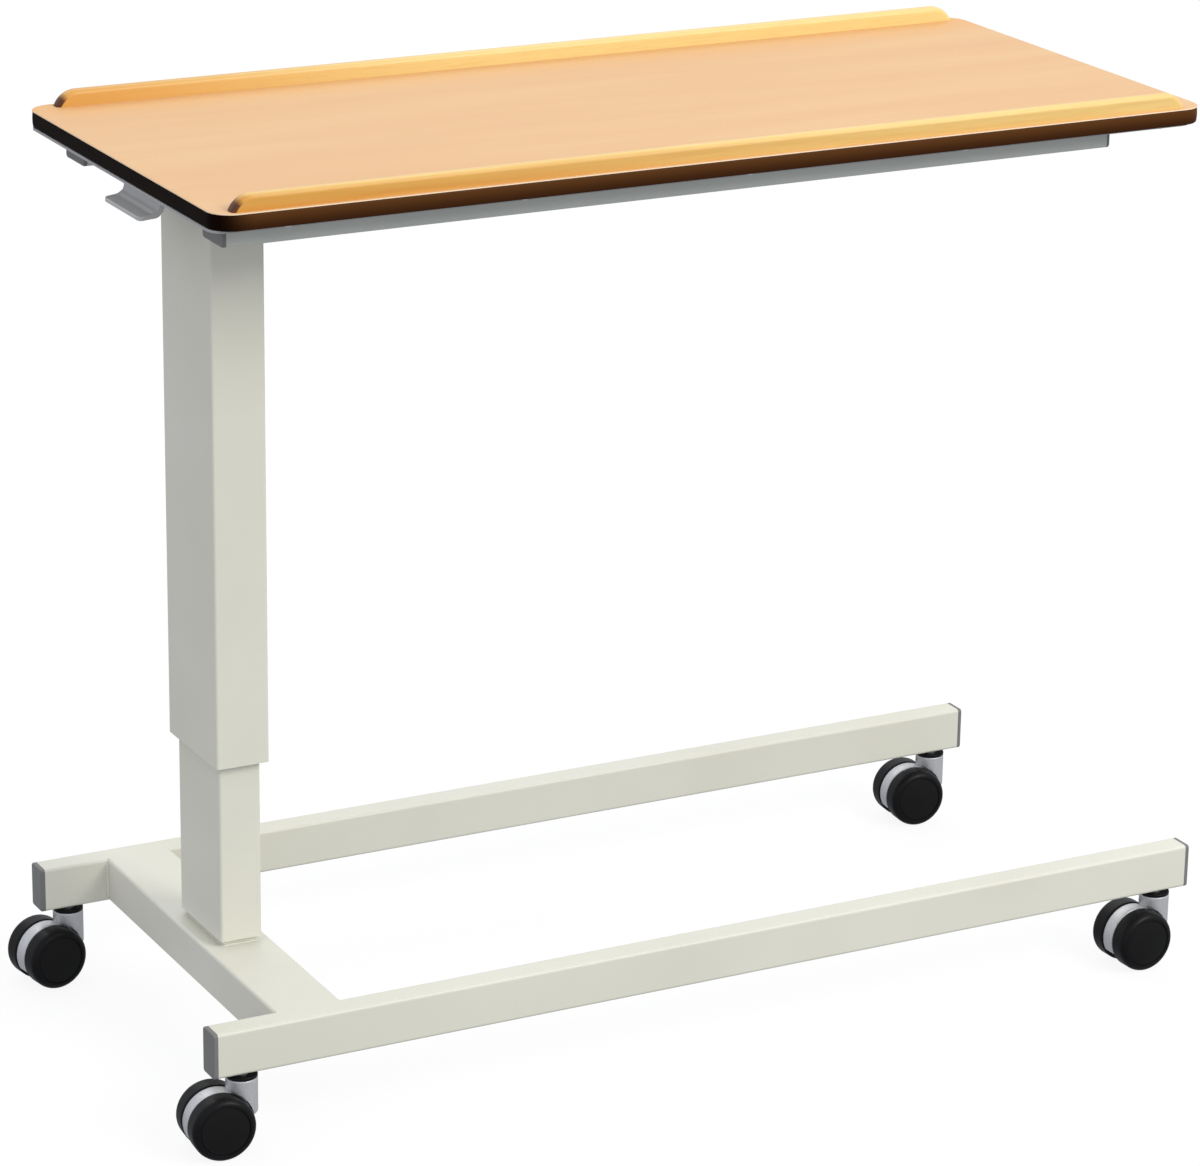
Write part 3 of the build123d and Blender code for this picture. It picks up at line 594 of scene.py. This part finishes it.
# A painted sheen of light: the top is paler.
paling_and_top_sheen = paling_and_top_sheen + 0.5 * here.along("Z").rise(high.z - 0.003, high.z)
deep = growth.rise(0.3, 0.72).blend((0.71, 0.355, 0.068, 1), (0.65, 0.285, 0.045, 1))
light = growth.rise(0.3, 0.72).blend((0.84, 0.62, 0.245, 1), (0.79, 0.545, 0.19, 1))
wood = paling_and_top_sheen.rise(0.0, 1.0).blend(deep, light)
# The rear strip's face is painted paler, as light bounced off the board, and deeper towards the
# column end.
outward_end = here.along("X").rise(low.x - 0.08, low.x + 0.45)
rear = outward_end.blend((0.70, 0.345, 0.075, 1), (0.84, 0.645, 0.265, 1))
wood = here.along("Y").rise(-0.1, 0.1).blend(wood, rear)
wood = (0.3 * fibre.rise(0.45, 0.75)).blend(wood, (0.62, 0.30, 0.07, 1))
feed(
    shader,
    Base_Color=end_grain.blend(wood, (0.10, 0.032, 0.006, 1)),
    Roughness=0.34 + 0.12 * fibre,
    Coat_Weight=0.08 + 0.06 * growth,
    Normal=fibre.bump(0.00003),
)


def lip_surface(low, high, floor_z, end_radius, top_radius):
    """A bar whose long section ends in arcs of end_radius that sweep down to the board, eased all
    along by top_radius: the point at step i of that outline and width y is outline i - d(y) x its
    outward direction, with d(y) = r - sqrt(r^2 - (|y| - (w - r))^2) over the last r of the half
    width w. Also the strength of the end grain and its painted shade at each point: 1 on the steep
    part of the end by the column, fading out as the arc levels off, and 0 elsewhere and along both
    side edges."""
    level_angle, fade = 1.05, 0.3
    start = np.arcsin((end_radius - (high.z - floor_z)) / end_radius)
    a = np.linspace(start, pi / 2, 22)
    foot = np.sqrt(end_radius**2 - (end_radius - (high.z - low.z)) ** 2)
    x = foot - end_radius * np.cos(a)
    z = high.z - end_radius + end_radius * np.sin(a)
    nx, nz = -np.cos(a), np.sin(a)
    run = np.linspace(foot, high.x - low.x - foot, 60)[1:-1]
    x = np.concatenate([x, run, (high.x - low.x) - x[::-1]]) + low.x
    z = np.concatenate([z, np.full_like(run, high.z), z[::-1]])
    nx = np.concatenate([nx, np.zeros_like(run), -nx[::-1]])
    nz = np.concatenate([nz, np.ones_like(run), nz[::-1]])
    half = (high.y - low.y) / 2
    t = np.linspace(0, pi / 2, 8)
    from_side = top_radius * (1 - np.cos(t))
    y = np.concatenate([from_side - half, half - from_side[::-1]])
    d = np.concatenate([top_radius * (1 - np.sin(t)), top_radius * (1 - np.sin(t))[::-1]])
    points = np.empty((len(x), len(y), 3))
    points[:, :, 0] = x[:, None] - d[None] * nx[:, None]
    points[:, :, 1] = (low.y + high.y) / 2 + y[None]
    points[:, :, 2] = np.maximum(z[:, None] - d[None] * nz[:, None], floor_z)
    steep = np.clip((level_angle - a) / fade, 0, 1)
    steep = np.concatenate([steep, np.zeros(len(x) - len(a))])
    across = np.concatenate([[0.0], np.ones(len(y) - 2), [0.0]])
    return points, steep[:, None] * across[None]


LIP_END_RADIUS, LIP_TOP_RADIUS = 0.020, 0.004
board_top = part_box("board_laminate")[1].z
for side in ("front", "rear"):
    low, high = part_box("lip_" + side)
    points, grain_and_shade = lip_surface(low, high, board_top, LIP_END_RADIUS, LIP_TOP_RADIUS)
    rows, columns = points.shape[:2]
    index = np.arange(rows * columns).reshape(rows, columns)
    faces = np.array(grid_faces(rows, columns))[:, ::-1].tolist()
    underside = np.concatenate([index[0, ::-1], index[-1]])
    faces += [index[:, 0].tolist(), index[::-1, -1].tolist(), underside.tolist()]
    lip = show(
        "lip_" + side + "_strip", points.reshape(-1, 3), faces, beech, "lift",
        ["lip_" + side],
    )
    # Each point's strength of end grain with its painted shade.
    strength = lip.data.attributes.new("end_grain", "FLOAT", "POINT")
    strength.data.foreach_set("value", grain_and_shade.ravel())
    smooth = np.ones(len(lip.data.polygons), bool)
    smooth[-3:] = False
    lip.data.polygons.foreach_set("use_smooth", smooth)

# ---- Castors ----------------------------------------------------------------------------------
# Four swivel castors with twin wheels. A silver-sprayed casting is both the barrel round the
# stem and the hood between the wheels; the wheels are black nylon with snapped-in domed caps,
# and each castor came to rest at a small angle of its own.

collar, shader, here = finish("black_nylon", Specular_IOR_Level=0.15)
mould = here.noise(1300.0, 2.0)
feed(
    shader,
    Base_Color=here.noise(70.0).blend((0.003, 0.003, 0.0035, 1), (0.006, 0.006, 0.0065, 1)),
    Roughness=0.30 + 0.16 * mould,
    Normal=mould.bump(0.00003),
)
coat(collar, "castor_collars")

dome, shader, here = finish("black_nylon_cap", Specular_IOR_Level=0.13)
erosion = here.noise(1700.0, 3.0, 0.6)
feed(
    shader,
    Base_Color=here.noise(70.0).blend((0.0055, 0.0055, 0.0055, 1), (0.0085, 0.0085, 0.0085, 1)),
    Roughness=0.36 + 0.16 * erosion,
    Normal=erosion.bump(0.00004),
)

silver, shader, here = finish("silver_housing", Metallic=0.55, Coat_Weight=0.3, Coat_Roughness=0.25)
flake = here.node("TexVoronoi", {}, {"Vector": here, "Scale": 2600.0}, "Color").along("X")
feed(
    shader,
    Base_Color=flake.blend((0.50, 0.505, 0.52, 1), (0.66, 0.665, 0.68, 1)),
    Roughness=0.34 + 0.14 * here.noise(200.0),
    Normal=flake.bump(0.00002),
)

WHEEL_R, GAP, OUTER, TRAIL, AXLE_R = 0.027, 0.007, 0.025, 0.0219, 0.00395
BARREL_R, HOOD_R, HOOD_HALF, HOOD_CUT_Z = 0.0132, 0.0264, 0.0066, 0.014
REST_DEG = {"front_left": -4.0, "rear_left": 9.0, "front_right": 2.0, "rear_right": -4.0}


def turned(radius, across, steps=96):
    """A profile of radii and places along the axle, turned about the axle: at angle a the point is
    (r cos a, place, r sin a)."""
    a = np.linspace(0, 2 * pi, steps, endpoint=False)
    points = np.empty((steps, len(radius), 3))
    points[:, :, 0] = np.cos(a)[:, None] * radius[None]
    points[:, :, 1] = across[None]
    points[:, :, 2] = np.sin(a)[:, None] * radius[None]
    return points.reshape(-1, 3), grid_faces(steps, len(radius), True, True)


def arc(centre_r, centre_y, radius, start, end, count):
    """Points of an arc in the profile plane, from angle start to end in degrees."""
    a = np.radians(np.linspace(start, end, count))
    return np.stack([centre_r + radius * np.cos(a), centre_y + radius * np.sin(a)], 1)


tyre = np.concatenate([
    [[AXLE_R + 0.0001, GAP], [0.0075, GAP], [0.0082, GAP + 0.0012]],
    [[0.0218, GAP + 0.0012], [0.0224, GAP]],
    arc(WHEEL_R - 0.0015, GAP + 0.0015, 0.0015, -90, 0, 5),
    [[WHEEL_R, 0.0105], [WHEEL_R, 0.0135], [WHEEL_R, 0.0165]],
    arc(WHEEL_R - 0.006, OUTER - 0.006, 0.006, 0, 82, 11),
    arc(0.0212, OUTER - 0.0004, 0.0004, 90, 180, 4),
    [[0.0208, OUTER - 0.0019], [AXLE_R + 0.0001, OUTER - 0.0019]],
])
DOME_R, DOME_RISE, POLE_R = 0.0196, 0.0018, 0.0003
bulge = OUTER - 0.0004 + DOME_RISE * (1 - np.linspace(DOME_R, 0, 18) ** 2 / DOME_R**2)
cap = np.concatenate([
    [[POLE_R, OUTER - 0.0018], [0.0204, OUTER - 0.0018]],
    arc(0.0200, OUTER - 0.0010, 0.0006, 0, 75, 5),
    np.stack([np.linspace(DOME_R, POLE_R, 18), bulge], 1),
])


def hood_surface():
    """A profile turned about the axle, its radii scaled by R(a) / 26.4 mm, where R(a) is 26.4 mm
    or, below the axle, the distance to the flat at 14 mm. The wheels trail to -X."""
    lip_r, round_r, round_y, hub_r, hub_y = 0.0185, 0.001, HOOD_HALF - 0.001, 0.0165, 0.003
    profile = np.concatenate([
        [[0.0005, -hub_y], [hub_r, -hub_y], [lip_r, -HOOD_HALF]],
        arc(HOOD_R - round_r, -round_y, round_r, -90, 0, 5),
        arc(HOOD_R - round_r, round_y, round_r, 0, 90, 5),
        [[lip_r, HOOD_HALF], [hub_r, hub_y], [0.0005, hub_y]],
    ])
    steps = 120
    hood, faces = turned(profile[:, 0], profile[:, 1], steps)
    hood = hood.reshape(steps, -1, 3)
    a = np.linspace(0, 2 * pi, steps, endpoint=False)
    flat = (WHEEL_R - HOOD_CUT_Z) / np.maximum(-np.sin(a), 1e-6)
    hood[:, :, [0, 2]] *= (np.minimum(HOOD_R, flat) / HOOD_R)[:, None, None]
    hood[:, :, 0] -= TRAIL
    hood[:, :, 2] += WHEEL_R
    return hood.reshape(-1, 3), faces


def barrel_surface():
    """At height z and angle a about a line at x = c(z), the reach is the least of the barrel's
    circle and the clearance cuts round the wheels, c(z) being where the clearance circle ends."""
    shank = np.linspace(0.034, 0.0613, 30)
    heights = np.concatenate([
        [0.030, 0.0301, 0.0304, 0.031, 0.032, 0.033], shank, [0.0618, 0.0621, 0.0623],
    ])
    inset = np.concatenate([
        [0.003, 0.0022, 0.0016, 0.0010, 0.0003, 0.0], np.zeros(len(shank)), [0.0001, 0.0004, 0.001],
    ])
    ring = BARREL_R - inset
    clearance, side_y = WHEEL_R + 0.0012, HOOD_HALF - 0.0001
    reach = clearance**2 - (heights - WHEEL_R) ** 2
    edge = -TRAIL + np.sqrt(np.maximum(reach, 0))
    edge = np.where(reach > 0, np.minimum(edge, ring - 0.002), -ring)
    c = (np.maximum(edge, 0.0) + 0.0005)[:, None]
    a = np.linspace(0, 2 * pi, 97)[:-1]
    cos_a, sin_a = np.cos(a)[None], np.sin(a)[None]
    circle = -c * cos_a + np.sqrt(np.maximum(ring[:, None] ** 2 - (c * sin_a) ** 2, 0))
    to_edge = np.where(cos_a < -1e-6, (c - edge[:, None]) / np.maximum(-cos_a, 1e-6), 1.0)
    to_side = side_y / np.maximum(np.abs(sin_a), 1e-6)
    beside = to_edge * np.abs(sin_a) > side_y
    cut = np.where(beside, to_edge, np.maximum(to_side, to_edge))
    r = np.minimum(circle, cut)
    barrel = np.stack([c + r * cos_a, r * sin_a, np.broadcast_to(heights[:, None], r.shape)], 2)
    rows, columns = r.shape
    index = np.arange(rows * columns).reshape(rows, columns)
    faces = np.array(grid_faces(rows, columns, False, True))[:, ::-1].tolist()
    return barrel.reshape(-1, 3), faces + [index[0, ::-1].tolist(), index[-1].tolist()]


(hood, hood_faces), (barrel, barrel_faces) = hood_surface(), barrel_surface()
casting_points = np.concatenate([hood, barrel])
casting_faces = hood_faces + [[k + len(hood) for k in face] for face in barrel_faces]

for name, rest_deg in REST_DEG.items():
    joint = next(j for j in frame["joints"] if j["name"] == "castor_swivel_" + name)
    stem = np.array(joint["pos_m"][:2] + [0.0])
    turn = radians(rest_deg)
    swing = np.array([[cos(turn), -sin(turn), 0], [sin(turn), cos(turn), 0], [0, 0, 1]])
    casting = show(
        "castor_casting_" + name, casting_points @ swing.T + stem, casting_faces, silver,
        "castor_" + name, ["castor_housing_" + name],
    )
    casting.data.set_sharp_from_angle(angle=radians(35))
    for which, side in (("a", -1), ("b", 1)):
        for part, profile, material, stands_for in (
            ("tyre", tyre, collar, "wheel_"), ("dome", cap, dome, "wheel_cap_"),
        ):
            points, faces = turned(profile[:, 0], profile[:, 1] * side)
            if side > 0:
                faces = [face[::-1] for face in faces]
            points = points + [-TRAIL, 0, WHEEL_R]
            made = show(
                f"{part}_{name}_{which}", points @ swing.T + stem, faces, material,
                f"wheel_{name}_{which}", [f"{stands_for}{name}_{which}"],
            )
            made.data.set_sharp_from_angle(angle=radians(50))

# ---- Floor, light and camera ------------------------------------------------------------------
# A white backdrop floor that glows for the eye alone and throws no light on the table, a sky
# that darkens downward, and two softboxes: one in front on the right and a weaker one behind.

FLOOR_R, FLOOR_STEPS = 22, 96
floor_mesh = bpy.data.meshes.new("floor")
a = np.linspace(0, 2 * pi, FLOOR_STEPS + 1)[:-1]
rim = np.stack([FLOOR_R * np.cos(a), FLOOR_R * np.sin(a), np.zeros(FLOOR_STEPS)], 1)
floor_mesh.from_pydata(rim.tolist(), [], [list(range(FLOOR_STEPS))])
floor = bpy.data.objects.new("floor", floor_mesh)
bpy.context.scene.collection.objects.link(floor)
pale, shader, here = finish(
    "pale_floor", Base_Color=(0.10, 0.10, 0.10, 1), Roughness=0.9, Specular_IOR_Level=0.0,
    Emission_Color=(1.0, 1.0, 1.0, 1), Emission_Strength=0.90,
)
floor_mesh.materials.append(pale)
floor.visible_diffuse = floor.visible_glossy = False

world = bpy.data.worlds.new("studio")
world.use_nodes = True
upward = Wire(world.node_tree).node("TexCoord", {}, {}, "Generated").along("Z")
sky = upward.rise(-0.45, 0.4).blend((0.40, 0.41, 0.435, 1), (0.82, 0.84, 0.895, 1))
world.node_tree.links.new(sky.socket, world.node_tree.nodes["Background"].inputs["Color"])
bpy.context.scene.world = world


def softbox(name, place, aim, width, depth, watts, colour):
    """A flat lamp of width x depth at place, facing aim."""
    lamp = bpy.data.lights.new(name, "AREA")
    lamp.shape, lamp.size, lamp.size_y = "RECTANGLE", width, depth
    lamp.energy, lamp.color = watts, colour
    made = bpy.data.objects.new(name, lamp)
    made.location = place
    made.rotation_mode = "QUATERNION"
    made.rotation_quaternion = (Vector(place) - Vector(aim)).to_track_quat("Z", "Y")
    bpy.context.scene.collection.objects.link(made)


TABLE_MIDDLE, WARM_WHITE = (0.1, 0.0, 0.5), (1.0, 0.985, 0.90)
softbox("softbox_front", (1.6, -3.2, 3.0), TABLE_MIDDLE, 2.4, 1.8, 98.0, WARM_WHITE)
softbox("softbox_behind", (0.6, 3.4, 3.8), TABLE_MIDDLE, 4.5, 2.5, 40.0, WARM_WHITE)

camera_data = bpy.data.cameras.new("camera")
camera_data.lens, camera_data.sensor_width = 138.12, 36.0
camera_data.clip_end = 100.0
camera = bpy.data.objects.new("camera", camera_data)
bpy.context.scene.collection.objects.link(camera)
azimuth, elevation, roll = radians(-27.79), radians(18.82), radians(0.84)
back = Vector((sin(azimuth) * cos(elevation), -cos(azimuth) * cos(elevation), sin(elevation)))
level = Vector((cos(azimuth), sin(azimuth), 0.0))
above = back.cross(level)
right = level * cos(roll) + above * sin(roll)
upright = above * cos(roll) - level * sin(roll)
turned_to = Matrix((right, upright, back)).transposed().to_4x4()
camera.matrix_world = Matrix.Translation((-1.74389, -3.29444, 1.62832)) @ turned_to
bpy.context.scene.camera = camera
bpy.context.scene.view_settings.view_transform = "Standard"
